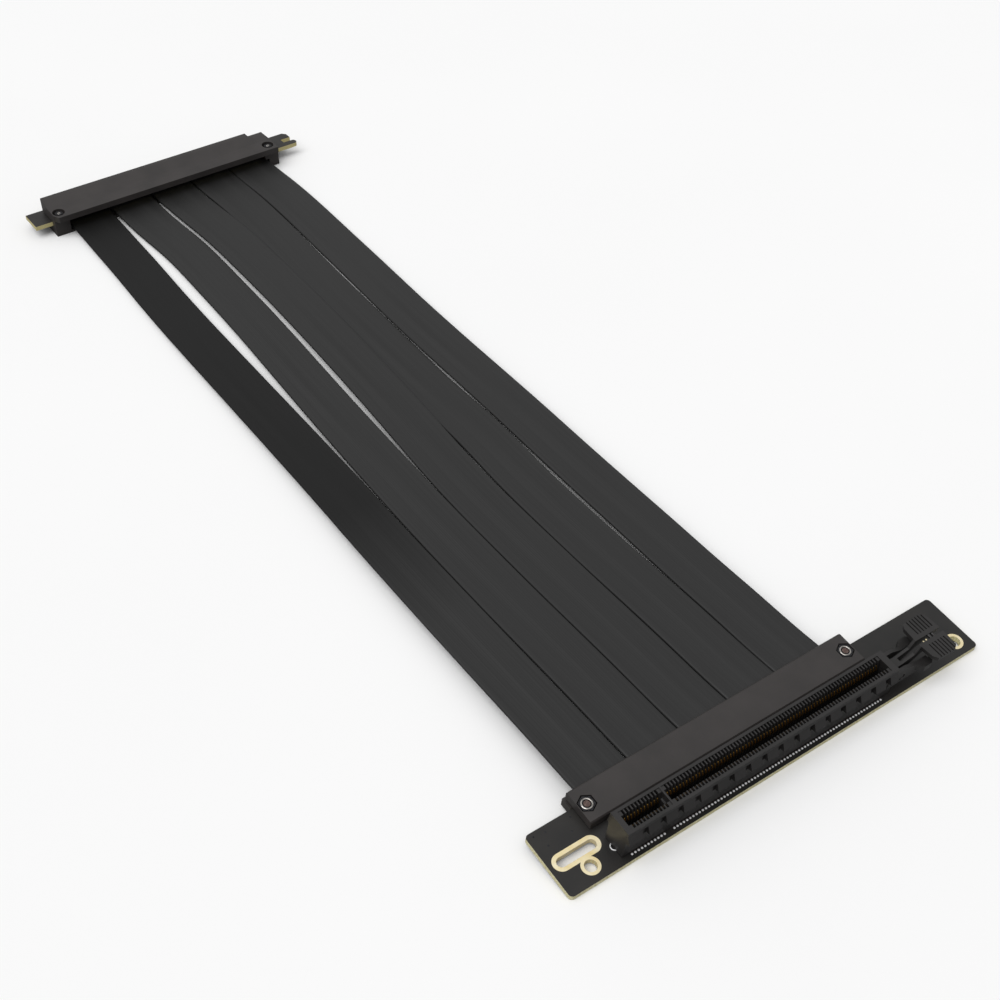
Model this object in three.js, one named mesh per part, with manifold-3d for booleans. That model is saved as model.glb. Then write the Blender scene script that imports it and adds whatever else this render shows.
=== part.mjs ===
// Riser cable for a graphics card: a socket board and a plug board joined by five flat ribbon cables.
// Millimetres, +Z up. The socket end is at low Y and the plug end at high Y, both lying on the table.
// X runs along the card slot, from its first contact towards the card latch.
import * as THREE from 'three';
import { mergeVertices } from 'three/addons/utils/BufferGeometryUtils.js';
import Module from 'manifold-3d';

const wasm = await Module();
wasm.setup();

// Clearances
const seatGap = 0.3;
const threadGap = 0.2;

// Card slot contacts: 11 before the key, the rest after it
const contactPitch = 1;
const contactsBeforeKey = 11;
const contactsAfterKey = 71;
const keyGap = 3;

// Socket board, measured from the first contact's solder joint on the board's top
const boardThickness = 1.6;
const boardLeft = -19.05;
const boardRight = 118.83;
const boardFront = -1.35;
const boardBack = 17.54;
const boardCorner = 1.2;
const mountSlotRadius = 1.4;
const mountSlotStart = -15.4;
const mountSlotEnd = -6.7;
const mountSlotY = 7.3;
const mountHoleRadius = 1.7;
const nearMountHole = [-10.15, 2.85];
const farMountHole = [114.1, 3.0];

// Socket housing
const housingCentre = 3.75;
const housingLeft = -2.73;
const housingRight = 86.2;
const housingTop = 10.94;
const rimHalfWidth = 3.5;
const rimFoot = 9.7;
const hoodReach = 4.7;
const hoodFoot = 7.1;
const hoodUnder = 6.7;
const wallHalfWidth = 3.25;
const rearHoodReach = 3.95;
const footGap = 0.3;
const slotLeft = -1.2;
const slotRight = 84.2;
const pocketHalfWidth = 2.7;
const pocketWidth = 0.62;
const pocketFloor = 1.6;
const combDrop = 0.25;
const mouthHalfWidth = 1.87;
const mouthDepth = 2.3;
const cardSlotHalfWidth = 0.9;
const cardSlotFloor = 2.7;
const keyWallTop = 0.5;
const keyWallFoot = 1.5;
const grooveCount = 16;
const groovePitch = 5.335;
const firstGroove = 2.45;
const grooveWidth = 1.6;
const grooveTopDepth = 1.9;
const grooveFoot = 7.4;

// Ears that carry the card latch
const earInner = 2.35;
const earThickness = 1.1;
const earEnd = 98.5;
const earTop = 8.5;
const earTipTop = 6.9;
const earFoot = 3.2;
const earPadLeft = 94.5;
const earPadRight = 99.3;
const earPadReach = 5.05;
const earPadFoot = 4.8;
const earRamp = [90, 94];

// Card latch
const latchPivotX = 89.2;
const latchPivotZ = 5.2;
const latchPinRadius = 0.8;
const latchBossRadius = 1.45;
const latchPlateInner = 0.65;
const latchPlateThickness = 0.8;
const latchTop = 11;
const latchWingLeft = 96.3;
const latchWingRight = 105.2;
const latchWingReach = 6.7;
const latchWingThickness = 1.2;
const latchRidgeCount = 6;
const latchRidgeDepth = 0.35;
const latchRungRadius = 0.5;
const latchRungs = [[101.2, 10.3], [102.7, 10.0]];
const latchHookLeft = 87.9;
const latchHookTop = 7.6;

// Row of flat ribbons, side by side from the left one's outer side
const ribbonCount = 5;
const ribbonWidth = 16.1;
const ribbonThickness = 1.2;
const ribbonGap = 0.4;
const ribbonPitch = ribbonWidth + ribbonGap;
const ribbonsLeft = -1.35;
const ribbonsRight = ribbonsLeft + ribbonCount * ribbonPitch - ribbonGap;
const ribbonFront = 17;

// Covers over the ribbons at the socket end
const upperCoverLeft = -4.6;
const upperCoverRight = ribbonsRight + 5.95;
const upperCoverFront = 10.6;
const upperCoverBack = 20.6;
const upperCoverTop = 3.0;
const upperCoverEdge = 0.35;
const ribbonMouthLeft = ribbonsLeft - 0.65;
const ribbonMouthRight = ribbonsRight + 1.25;
const ribbonMouthFront = 16.6;
const ribbonMouthRoof = 1.9;
const lowerCoverLeft = -5;
const lowerCoverRight = ribbonsRight + 6.25;
const lowerCoverBack = 21.2;
const lowerCoverDepth = 3.1;
const lowerCoverBevel = 1;
const lowerCoverLip = -0.3;
const lowerCoverChamfer = 1.6;

// Screws and nuts at the socket end
const screwPlaces = [[-2.15, 15.5], [ribbonsRight + 3.45, 15.5]];
const screwRadius = 0.9;
const screwHeadRadius = 1.8;
const screwHeadHeight = 0.6;
const screwHeadDepth = 0.1;
const screwHeadGap = 0.1;
const nutAcrossFlats = 3.9;
const nutHeight = 1.2;
const nutSink = 0.15;

// Plug end: u runs along the slot, v away from the socket, both from the near edge of the upper cover
const plugDistance = 333.3;
const plugTurn = THREE.MathUtils.degToRad(0.9);
const plugLeft = -4.3;
const plugRight = ribbonsRight + 8.55;
const plugFar = 13.9;
const ledgeNearTop = 8.8;
const ledgeFarTop = 9.2;
const ledgeDepth = 7.4;
const slabFoot = 6.5;
const ridgeDepth = 11;
const ridgeTop = 11;
const humpCrown = 13.5;
const humpRight = ribbonsRight + 2.45;
const humpLean = 2.2;
const plugCornerCut = [1.3, 2.2];
const plugFloor = 0.95;
const plugNear = 2.3;
const plugMouthLeft = 1.5;
const plugMouthRight = ribbonsRight + 5.35;
const plugBossLeft = ribbonsRight + 3.55;
const plugLobeRight = ribbonsRight + 9.55;
const plugFarWall = 1.5;
const plugScrews = [[-1.7, 3.6], [ribbonsRight + 5.75, 3.6]];
const plugRecessRadius = 2.3;
const plugRecessDepth = 1.3;
const plugHeadRadius = 1.5;
const plugHeadHeight = 0.8;
const plugScrewRadius = 0.8;
const plugScrewFoot = 3.9;

// Plug board
const plugBoardFoot = 3.4;
const plugBoardNear = 5.2;
const plugBoardFar = 15.0;
const tabLeft = -10.7;
const tongueLeft = -0.65;
const tongueTip = 22.4;
const tongueBevel = 0.6;
const keyNotchWidth = 1.9;
const keyNotchDepth = 7;
const forkRoot = 96;
const forkNotchNear = 8.05;
const forkNotchFar = 10.6;
const nearProngTip = 100.8;
const farProngTip = 100.2;
const farProngCut = 1.4;

// Ribbon routes: stations along Y for the length as laid, the height of each ribbon's top, its drift across X
const ribbonBack = plugDistance + 9.7;
const laidStations = [17, 22, 30, 45, 60, 80, 100, 125, 150, 175, 200, 225, 250, 275, 300, 318, 334, 343];
const laidLength = laidStations[laidStations.length - 1] - laidStations[0];
const commonTops = [5.2, 5.7, 5.75, 5.6, 5.4, 5.0, 4.6, 4.1, 3.6, 3.1, 2.6, 2.2, 1.9, 1.7, 1.6, 1.8, 2.5, 3.0];
const raisedTops = [5.2, 5.7, 5.75, 5.6, 5.4, 5.0, 4.6, 4.1, 4.0, 3.8, 3.4, 3.2, 3.05, 2.95, 2.8, 2.6, 2.5, 3.0];
const sunkTops = [5.2, 5.7, 5.75, 5.6, 5.4, 5.0, 4.6, 4.1, 3.3, 2.25, 1.8, 1.5, 1.35, 1.35, 1.4, 1.7, 2.5, 3.0];
const ribbonRoutes = [
  {
    tops: commonTops,
    drifts: [0, -0.4, -0.4, -0.3, -0.3, -0.2, 0, 0.4, 1, 1.4, 1.7, 1.9, 2.1, 2.6, 3.4, 3.6, 3.5, 3.2],
  },
  {
    tops: commonTops,
    drifts: [0.2, -0.3, -0.4, -0.3, -0.3, -0.3, -0.1, 0.4, 1.3, 2.4, 3.7, 5.1, 6.2, 6.8, 6.8, 5.4, 4.4, 4.1],
  },
  {
    tops: raisedTops,
    drifts: [0.2, -0.3, -0.5, -0.4, -0.4, -0.4, -0.2, 0.3, 1.6, 3.4, 5, 6.2, 7, 7.3, 7, 5.9, 5.1, 4.6],
  },
  {
    tops: sunkTops,
    drifts: [0.2, -0.3, -0.5, -0.4, -0.4, -0.5, -0.3, 0.4, 2, 2.4, 3.2, 4, 4.8, 5.8, 6.7, 6.5, 5.3, 4.7],
  },
  {
    tops: commonTops,
    drifts: [0.1, -0.4, -0.6, -0.4, -0.3, 0.2, 0.6, 1.2, 2, 2.5, 3, 3.8, 4.9, 5.8, 6.6, 6.4, 5.2, 4.7],
  },
];

// Sizes that follow from the ones above
const boardTop = 0;
const boardFoot = boardTop - boardThickness;
const lowerCoverTop = boardFoot - seatGap;
// The board leans back: its front edge and the lower cover's front foot both touch the table
const lowerCoverFoot = upperCoverFront + lowerCoverBevel;
const tilt = Math.atan2(lowerCoverDepth - boardThickness, lowerCoverFoot - boardFront);
const lift = boardThickness * Math.cos(tilt) - boardFront * Math.sin(tilt);
const plugBoardTop = plugBoardFoot + boardThickness;
const contactPlaces = [
  ...Array.from({ length: contactsBeforeKey }, (_, i) => i * contactPitch),
  ...Array.from({ length: contactsAfterKey }, (_, i) => (contactsBeforeKey - 1 + i) * contactPitch + keyGap),
];
const keyMiddle = (contactsBeforeKey - 1) * contactPitch + keyGap / 2;
const lastContact = contactPlaces[contactPlaces.length - 1];
const tongueRight = lastContact - tongueLeft;

const plastic = { color: 0x2c2b2b, roughness: 0.55, metalness: 0 };
const coverPaint = { color: 0x35322f, roughness: 0.6, metalness: 0 };
const solderMask = { color: 0x1e1d1c, roughness: 0.45, metalness: 0 };
const jacket = { color: 0x262626, roughness: 0.62, metalness: 0 };
const blackSteel = { color: 0x3a3a3c, roughness: 0.35, metalness: 0.9 };

// Turns an outline given in (y, z) so that it is extruded along X
const alongX = new THREE.Matrix4().makeBasis(
  new THREE.Vector3(0, 1, 0),
  new THREE.Vector3(0, 0, 1),
  new THREE.Vector3(1, 0, 0),
);
// Turns an outline given in (x, z) so that it is extruded towards -Y
const alongY = new THREE.Matrix4().makeBasis(
  new THREE.Vector3(1, 0, 0),
  new THREE.Vector3(0, 0, 1),
  new THREE.Vector3(0, -1, 0),
);

function outline(points) {
  return new THREE.Shape(points.map(([a, b]) => new THREE.Vector2(a, b)));
}

function extrude(shape, depth, curveSegments = 6) {
  return new THREE.ExtrudeGeometry(shape, { depth, bevelEnabled: false, steps: 1, curveSegments });
}

// A plate whose outline lies in XY, between two heights
function plate(shape, low, high, curveSegments) {
  return extrude(shape, high - low, curveSegments).translate(0, 0, low);
}

// A bar whose (y, z) section runs from one X to another
function barX(points, left, right) {
  return extrude(outline(points), right - left).applyMatrix4(alongX).translate(left, 0, 0);
}

// A bar whose (x, z) section runs from one Y to another
function barY(points, near, far) {
  return extrude(outline(points), far - near).applyMatrix4(alongY).translate(0, far, 0);
}

function box(left, right, near, far, low, high) {
  return new THREE.BoxGeometry(right - left, far - near, high - low).translate(
    (left + right) / 2,
    (near + far) / 2,
    (low + high) / 2,
  );
}

function post(x, y, radius, low, high, sides = 16) {
  return new THREE.CylinderGeometry(radius, radius, high - low, sides)
    .rotateX(Math.PI / 2)
    .translate(x, y, (low + high) / 2);
}

// A round bar along Y
function pinY(x, z, radius, near, far, sides = 16) {
  return new THREE.CylinderGeometry(radius, radius, far - near, sides).translate(x, (near + far) / 2, z);
}

function toSolid(geometry) {
  const bare = geometry.clone();
  bare.deleteAttribute('normal');
  bare.deleteAttribute('uv');
  const merged = mergeVertices(bare, 1e-5);
  return new wasm.Manifold(
    new wasm.Mesh({
      numProp: 3,
      vertProperties: new Float32Array(merged.attributes.position.array),
      triVerts: new Uint32Array(merged.index.array),
    }),
  );
}

function toGeometry(solid) {
  const mesh = solid.getMesh();
  const geometry = new THREE.BufferGeometry();
  geometry.setAttribute('position', new THREE.BufferAttribute(mesh.vertProperties, 3));
  geometry.setIndex(new THREE.BufferAttribute(mesh.triVerts, 1));
  geometry.computeVertexNormals();
  return geometry;
}

// Joins the pieces of one moulding, then takes the hollows out of it
function carve(pieces, hollows = []) {
  let solid = toSolid(pieces[0]);
  for (const piece of pieces.slice(1)) {
    solid = solid.add(toSolid(piece));
  }
  for (const hollow of hollows) {
    solid = solid.subtract(toSolid(hollow));
  }
  return toGeometry(solid);
}

function part(name, geometry, finish) {
  const mesh = new THREE.Mesh(geometry, new THREE.MeshStandardMaterial(finish));
  mesh.name = name;
  return mesh;
}

function circle(x, y, radius) {
  return new THREE.Path().absarc(x, y, radius, 0, 2 * Math.PI, true);
}

function roundedRectangle(left, right, near, far, radius) {
  const shape = new THREE.Shape();
  shape.absarc(left + radius, near + radius, radius, Math.PI, 1.5 * Math.PI, false);
  shape.absarc(right - radius, near + radius, radius, 1.5 * Math.PI, 2 * Math.PI, false);
  shape.absarc(right - radius, far - radius, radius, 0, 0.5 * Math.PI, false);
  shape.absarc(left + radius, far - radius, radius, 0.5 * Math.PI, Math.PI, false);
  return shape;
}

function hexagon(x, y, acrossFlats) {
  const radius = acrossFlats / Math.sqrt(3);
  return Array.from({ length: 6 }, (_, i) => {
    const angle = (i * Math.PI) / 3 + Math.PI / 6;
    return [x + radius * Math.cos(angle), y + radius * Math.sin(angle)];
  });
}

// Socket board: a long slot and two round holes fix it to a case, two small holes take the cover screws
function socketBoard() {
  const shape = roundedRectangle(boardLeft, boardRight, boardFront, boardBack, boardCorner);
  const slot = new THREE.Path();
  slot.absarc(mountSlotStart, mountSlotY, mountSlotRadius, -0.5 * Math.PI, 0.5 * Math.PI, true);
  slot.absarc(mountSlotEnd, mountSlotY, mountSlotRadius, 0.5 * Math.PI, -0.5 * Math.PI, true);
  shape.holes.push(slot, circle(...nearMountHole, mountHoleRadius), circle(...farMountHole, mountHoleRadius));
  for (const [x, y] of screwPlaces) {
    shape.holes.push(circle(x, y, screwRadius + threadGap));
  }
  return part('socket_board', carve([plate(shape, boardFoot, boardTop)]), solderMask);
}

// The (y, z) section of the housing: a rim, a hood that flares out below it, and a set-back wall
function housingSection() {
  const low = boardTop + footGap;
  const front = (reach) => housingCentre - reach;
  const rear = (reach) => housingCentre + reach;
  return [
    [front(wallHalfWidth), low],
    [rear(wallHalfWidth), low],
    [rear(wallHalfWidth), hoodUnder],
    [rear(rearHoodReach), hoodFoot],
    [rear(rimHalfWidth), rimFoot],
    [rear(rimHalfWidth), housingTop],
    [front(rimHalfWidth), housingTop],
    [front(rimHalfWidth), rimFoot],
    [front(hoodReach), hoodFoot],
    [front(wallHalfWidth), hoodUnder],
  ];
}

// Grooves between the hood's panels, deepest under the rim and running out at the hood's foot
function hoodGrooves() {
  const outside = housingCentre - hoodReach - 1;
  const deep = housingCentre - rimHalfWidth + grooveTopDepth;
  const shallow = housingCentre - wallHalfWidth;
  const section = [
    [outside, grooveFoot],
    [shallow, grooveFoot],
    [deep, rimFoot - 0.2],
    [outside, rimFoot - 0.2],
  ];
  return Array.from({ length: grooveCount }, (_, i) => {
    const middle = firstGroove + i * groovePitch;
    return barX(section, middle - grooveWidth / 2, middle + grooveWidth / 2);
  });
}

// Wedge mouth and card slot on one side of the key, with the key wall left standing between two calls
function slotHollow(left, right, keyStep, keySide) {
  const y = housingCentre;
  const mouthFoot = housingTop - mouthDepth;
  const mouth = barX(
    [
      [y - cardSlotHalfWidth, mouthFoot],
      [y + cardSlotHalfWidth, mouthFoot],
      [y + mouthHalfWidth, housingTop + 1],
      [y - mouthHalfWidth, housingTop + 1],
    ],
    left,
    right,
  );
  const comb = box(left, right, y - pocketHalfWidth, y + pocketHalfWidth, housingTop - combDrop, housingTop + 1);
  const slot = box(
    left + (keySide < 0 ? keyStep : 0),
    right - (keySide > 0 ? keyStep : 0),
    y - cardSlotHalfWidth,
    y + cardSlotHalfWidth,
    cardSlotFloor,
    mouthFoot + 0.1,
  );
  return [mouth, comb, slot];
}

function contactPockets() {
  return contactPlaces.map((x) =>
    box(
      x - pocketWidth / 2,
      x + pocketWidth / 2,
      housingCentre - pocketHalfWidth,
      housingCentre + pocketHalfWidth,
      pocketFloor,
      housingTop + 1,
    ),
  );
}

// The two ears reach out past the slot's end, each with a foot pad at its tip and a hole for the latch's pin
function ears() {
  const profile = [
    [housingRight - 2, earFoot],
    [earPadLeft, earFoot],
    [earEnd, earPadFoot],
    [earEnd, earTipTop],
    [earRamp[1], earTipTop],
    [earRamp[0], earTop],
    [housingRight - 2, earTop],
  ];
  const inner = earInner;
  const outer = earInner + earThickness;
  const pieces = [];
  for (const side of [-1, 1]) {
    const near = housingCentre + (side < 0 ? -outer : inner);
    const far = housingCentre + (side < 0 ? -inner : outer);
    const reach = housingCentre + side * earPadReach;
    const start = housingCentre + side * (outer - 0.4);
    pieces.push(barY(profile, near, far));
    pieces.push(
      plate(
        outline(
          side < 0
            ? [
                [earPadLeft + 1.2, reach],
                [earPadRight - 1.2, reach],
                [earPadRight, reach + 0.9],
                [earPadRight, start],
                [earPadLeft - 1, start],
              ]
            : [
                [earPadLeft - 1, start],
                [earPadRight, start],
                [earPadRight, reach - 0.9],
                [earPadRight - 1.2, reach],
                [earPadLeft + 1.2, reach],
              ],
        ),
        earPadFoot,
        earTipTop,
      ),
    );
  }
  return pieces;
}

function socketHousing() {
  const body = barX(housingSection(), housingLeft, housingRight);
  const keyStep = (keyWallFoot - keyWallTop) / 2;
  const hollows = [
    ...hoodGrooves(),
    ...slotHollow(slotLeft, keyMiddle - keyWallTop / 2, keyStep, 1),
    ...slotHollow(keyMiddle + keyWallTop / 2, slotRight, keyStep, -1),
    ...contactPockets(),
    pinY(
      latchPivotX,
      latchPivotZ,
      latchPinRadius + seatGap,
      housingCentre - earInner - earThickness - 1,
      housingCentre + earInner + earThickness + 1,
    ),
  ];
  return part('socket_housing', carve([body, ...ears()], hollows), plastic);
}

// Card latch: two side plates on a pivot, a hook at the slot's end and a ridged finger wing on each side
function cardLatch() {
  const plateOuter = latchPlateInner + latchPlateThickness;
  const wingFoot = latchTop - latchWingThickness;
  const profile = [
    [latchHookLeft, latchPivotZ - latchBossRadius],
    [latchPivotX + 1, latchPivotZ - latchBossRadius],
    [latchWingLeft + 1, wingFoot - 2],
    [latchWingRight - 0.6, wingFoot],
    [latchWingRight, latchTop],
    [latchWingLeft, latchTop],
    [latchWingLeft - 1.5, wingFoot - 1.2],
    [latchPivotX + 1.2, latchHookTop],
    [latchHookLeft, latchHookTop],
  ];
  const pieces = [];
  const hollows = [];
  const wing = [
    [latchWingLeft, plateOuter - 0.3],
    [latchWingRight, plateOuter - 0.3],
    [latchWingRight - 0.3, latchWingReach - 1],
    [latchWingRight - 1.6, latchWingReach],
    [latchWingLeft + 1.3, latchWingReach - 0.2],
    [latchWingLeft + 0.3, latchWingReach - 1.6],
  ];
  for (const side of [-1, 1]) {
    const inner = housingCentre + side * latchPlateInner;
    const outer = housingCentre + side * plateOuter;
    pieces.push(barY(profile, Math.min(inner, outer), Math.max(inner, outer)));
    const points = wing.map(([x, reach]) => [x, housingCentre + side * reach]);
    pieces.push(plate(outline(side < 0 ? points.reverse() : points), wingFoot, latchTop));
    const pinEnd = housingCentre + side * (earInner + earThickness - 0.2);
    pieces.push(
      pinY(latchPivotX, latchPivotZ, latchPinRadius, Math.min(inner, pinEnd), Math.max(inner, pinEnd)),
    );
  }
  for (const [x, z] of latchRungs) {
    pieces.push(pinY(x, z, latchRungRadius, housingCentre - plateOuter + 0.2, housingCentre + plateOuter - 0.2, 12));
  }
  const hookHalf = latchPlateInner + 0.2;
  pieces.push(
    box(
      latchHookLeft,
      latchPivotX + latchBossRadius,
      housingCentre - hookHalf,
      housingCentre + hookHalf,
      latchPivotZ - latchBossRadius,
      latchHookTop,
    ),
  );
  const ridgePitch = (latchWingRight - latchWingLeft - 2.6) / latchRidgeCount;
  for (let i = 0; i < latchRidgeCount; i += 1) {
    const left = latchWingLeft + 2 + i * ridgePitch;
    const notch = [
      [left + 0.15 * ridgePitch, latchTop - latchRidgeDepth],
      [left + 0.45 * ridgePitch, latchTop - latchRidgeDepth],
      [left + 0.6 * ridgePitch, latchTop + 0.5],
      [left, latchTop + 0.5],
    ];
    for (const side of [-1, 1]) {
      const inner = housingCentre + side * (plateOuter + 0.5);
      const outer = housingCentre + side * (latchWingReach + 1);
      hollows.push(barY(notch, Math.min(inner, outer), Math.max(inner, outer)));
    }
  }
  return part('card_latch', carve(pieces, hollows), plastic);
}

// Upper cover at the socket end: a flat cap with a hexagonal pocket for each nut and a mouth for the ribbons
function socketUpperCover() {
  const edge = upperCoverEdge;
  const section = [
    [upperCoverFront, boardTop + seatGap],
    [upperCoverBack, boardTop + seatGap],
    [upperCoverBack, upperCoverTop - edge],
    [upperCoverBack - edge, upperCoverTop],
    [upperCoverFront + edge, upperCoverTop],
    [upperCoverFront, upperCoverTop - edge],
  ];
  const hollows = [
    box(ribbonMouthLeft, ribbonMouthRight, ribbonMouthFront, upperCoverBack + 1, boardTop - 1, ribbonMouthRoof),
  ];
  const recessFloor = upperCoverTop - nutHeight - nutSink;
  for (const [x, y] of screwPlaces) {
    hollows.push(plate(outline(hexagon(x, y, nutAcrossFlats + 2 * seatGap)), recessFloor, upperCoverTop + 1));
    hollows.push(post(x, y, screwRadius + threadGap, boardTop - 1, upperCoverTop + 1));
  }
  return part(
    'socket_upper_cover',
    carve([barX(section, upperCoverLeft, upperCoverRight)], hollows),
    coverPaint,
  );
}

// Lower cover at the socket end: a tray under the board whose back rises behind the board's edge
function socketLowerCover() {
  const foot = -lowerCoverDepth;
  const rise = boardBack + seatGap;
  const section = [
    [upperCoverFront, foot + lowerCoverBevel],
    [lowerCoverFoot, foot],
    [lowerCoverBack, foot],
    [lowerCoverBack, lowerCoverLip],
    [rise, lowerCoverLip],
    [rise, lowerCoverTop],
    [upperCoverFront, lowerCoverTop],
  ];
  const cut = lowerCoverChamfer;
  const leftCut = outline([
    [lowerCoverLeft - 1, upperCoverFront - 1],
    [lowerCoverLeft + cut, upperCoverFront - 1],
    [lowerCoverLeft + cut, upperCoverFront],
    [lowerCoverLeft, upperCoverFront + cut],
    [lowerCoverLeft - 1, upperCoverFront + cut],
  ]);
  const rightCut = outline([
    [lowerCoverRight - cut, upperCoverFront - 1],
    [lowerCoverRight + 1, upperCoverFront - 1],
    [lowerCoverRight + 1, upperCoverFront + cut],
    [lowerCoverRight, upperCoverFront + cut],
    [lowerCoverRight - cut, upperCoverFront],
  ]);
  const hollows = [plate(leftCut, foot - 1, boardTop + 1), plate(rightCut, foot - 1, boardTop + 1)];
  for (const [x, y] of screwPlaces) {
    const recessTop = foot + screwHeadDepth + screwHeadHeight + screwHeadGap;
    hollows.push(post(x, y, screwHeadRadius + seatGap, foot - 1, recessTop));
    hollows.push(post(x, y, screwRadius + threadGap, foot - 1, boardTop + 1));
  }
  return part(
    'socket_lower_cover',
    carve([barX(section, lowerCoverLeft, lowerCoverRight)], hollows),
    coverPaint,
  );
}

// Screw from below, its head sunk in the lower cover and its end level with the nut
function socketScrew(name, [x, y]) {
  const headFoot = -lowerCoverDepth + screwHeadDepth;
  const head = post(x, y, screwHeadRadius, headFoot, headFoot + screwHeadHeight, 20);
  const shank = post(x, y, screwRadius, headFoot, upperCoverTop - nutSink, 16);
  return part(name, carve([head, shank]), blackSteel);
}

function socketNut(name, [x, y]) {
  const shape = outline(hexagon(x, y, nutAcrossFlats));
  shape.holes.push(circle(x, y, screwRadius + threadGap));
  const foot = upperCoverTop - nutSink - nutHeight + seatGap;
  return part(name, carve([plate(shape, foot, upperCoverTop - nutSink, 4)]), blackSteel);
}

// Plug board: a tab on the left, the card-edge tongue with its key notch, and a two-pronged fork on the right
function plugBoard() {
  const keyLeft = keyMiddle - keyNotchWidth / 2;
  const keyRight = keyMiddle + keyNotchWidth / 2;
  const keyRoot = tongueTip - keyNotchDepth;
  const prongRound = (forkNotchNear - plugBoardNear) / 2;
  const shape = new THREE.Shape();
  shape.moveTo(tabLeft, plugBoardNear);
  shape.lineTo(nearProngTip - prongRound, plugBoardNear);
  shape.absarc(
    nearProngTip - prongRound,
    plugBoardNear + prongRound,
    prongRound,
    -0.5 * Math.PI,
    0.5 * Math.PI,
    false,
  );
  shape.lineTo(forkRoot, forkNotchNear);
  shape.lineTo(forkRoot, forkNotchFar);
  shape.lineTo(farProngTip, forkNotchFar);
  shape.lineTo(farProngTip, plugBoardFar - farProngCut);
  shape.lineTo(farProngTip - farProngCut, plugBoardFar);
  shape.lineTo(tongueRight, plugBoardFar);
  shape.lineTo(tongueRight, tongueTip - tongueBevel);
  shape.lineTo(tongueRight - tongueBevel, tongueTip);
  shape.lineTo(keyRight + tongueBevel, tongueTip);
  shape.lineTo(keyRight, tongueTip - tongueBevel);
  shape.lineTo(keyRight, keyRoot);
  shape.lineTo(keyLeft, keyRoot);
  shape.lineTo(keyLeft, tongueTip - tongueBevel);
  shape.lineTo(keyLeft - tongueBevel, tongueTip);
  shape.lineTo(tongueLeft + tongueBevel, tongueTip);
  shape.lineTo(tongueLeft, tongueTip - tongueBevel);
  shape.lineTo(tongueLeft, plugBoardFar);
  shape.lineTo(tabLeft, plugBoardFar);
  return part('plug_board', carve([plate(shape, plugBoardFoot, plugBoardTop)]), solderMask);
}

// Upper cover at the plug end: a ledge with two round screw recesses and a hump that ends short of the right end
function plugUpperCover() {
  const boardClear = plugBoardTop + seatGap;
  const step = plugBoardNear - seatGap;
  const base = [
    [0, slabFoot],
    [step, slabFoot],
    [step, boardClear],
    [plugFar, boardClear],
    [plugFar, ledgeFarTop],
    [ledgeDepth, ledgeFarTop],
    [0, ledgeNearTop],
  ];
  const hump = [
    [ledgeDepth - 0.4, ledgeFarTop - 0.6],
    [plugFar, ledgeFarTop - 0.6],
    [plugFar, ridgeTop - 0.4],
    [humpCrown, ridgeTop],
    [ridgeDepth, ridgeTop],
    [ledgeDepth, ledgeFarTop],
  ];
  const lean = [
    [humpRight, ledgeFarTop],
    [humpRight + 2, ledgeFarTop],
    [humpRight + 2, ridgeTop + 1],
    [humpRight - humpLean, ridgeTop + 1],
  ];
  const [cutAcross, cutDeep] = plugCornerCut;
  const corner = outline([
    [plugLeft - 1, -1],
    [plugLeft + cutAcross, -1],
    [plugLeft + cutAcross, 0],
    [plugLeft, cutDeep],
    [plugLeft - 1, cutDeep],
  ]);
  const hollows = [barY(lean, -1, plugFar + 1), plate(corner, slabFoot - 1, ridgeTop + 1)];
  for (const [u, v] of plugScrews) {
    hollows.push(post(u, v, plugRecessRadius, ledgeNearTop - plugRecessDepth, ridgeTop + 1, 20));
    hollows.push(post(u, v, plugScrewRadius + threadGap, slabFoot - 1, ridgeTop + 1, 12));
  }
  return part(
    'plug_upper_cover',
    carve([barX(base, plugLeft, plugRight), barX(hump, plugLeft, humpRight + 1)], hollows),
    coverPaint,
  );
}

// Lower cover at the plug end: a floor, a far wall under the board and an end block on each side of the ribbons
function plugLowerCover() {
  const boardClear = plugBoardFoot - seatGap;
  const blockTop = slabFoot - seatGap;
  const step = plugBoardNear - seatGap;
  const block = [
    [plugNear, 0],
    [plugFar, 0],
    [plugFar, boardClear],
    [step, boardClear],
    [step, blockTop],
    [plugNear, blockTop],
  ];
  const pieces = [
    box(plugLeft, plugLobeRight, plugNear, plugFar, 0, plugFloor),
    box(plugLeft, plugLobeRight, plugFar - plugFarWall, plugFar, 0, boardClear),
    barX(block, plugLeft, plugMouthLeft),
    barX(block, plugMouthRight, plugLobeRight),
    box(plugBossLeft, plugLobeRight, plugNear, step, plugBoardFoot, blockTop),
  ];
  const hollows = plugScrews.map(([u, v]) =>
    post(u, v, plugScrewRadius + threadGap, plugScrewFoot - seatGap, blockTop + 1, 12),
  );
  return part('plug_lower_cover', carve(pieces, hollows), coverPaint);
}

function plugScrew(name, [u, v]) {
  const headFoot = ledgeNearTop - plugRecessDepth + seatGap;
  const head = post(u, v, plugHeadRadius, headFoot, headFoot + plugHeadHeight, 16);
  const shank = post(u, v, plugScrewRadius, plugScrewFoot, headFoot + plugHeadHeight, 12);
  return part(name, carve([head, shank]), blackSteel);
}

// One flat ribbon: a long box divided at the stations, each station moved to its place on the route
function ribbon(name, order, { tops, drifts }) {
  const middle = ribbonsLeft + ribbonWidth / 2 + order * ribbonPitch;
  const last = laidStations.length - 1;
  const geometry = new THREE.BoxGeometry(ribbonWidth, 1, ribbonThickness, 1, last, 1);
  const position = geometry.attributes.position;
  for (let i = 0; i < position.count; i += 1) {
    const station = Math.round((position.getY(i) + 0.5) * last);
    position.setXYZ(
      i,
      position.getX(i) + middle + drifts[station],
      ribbonFront + ((laidStations[station] - laidStations[0]) / laidLength) * (ribbonBack - ribbonFront),
      position.getZ(i) + tops[station] - ribbonThickness / 2,
    );
  }
  return part(name, geometry, jacket);
}

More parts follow.
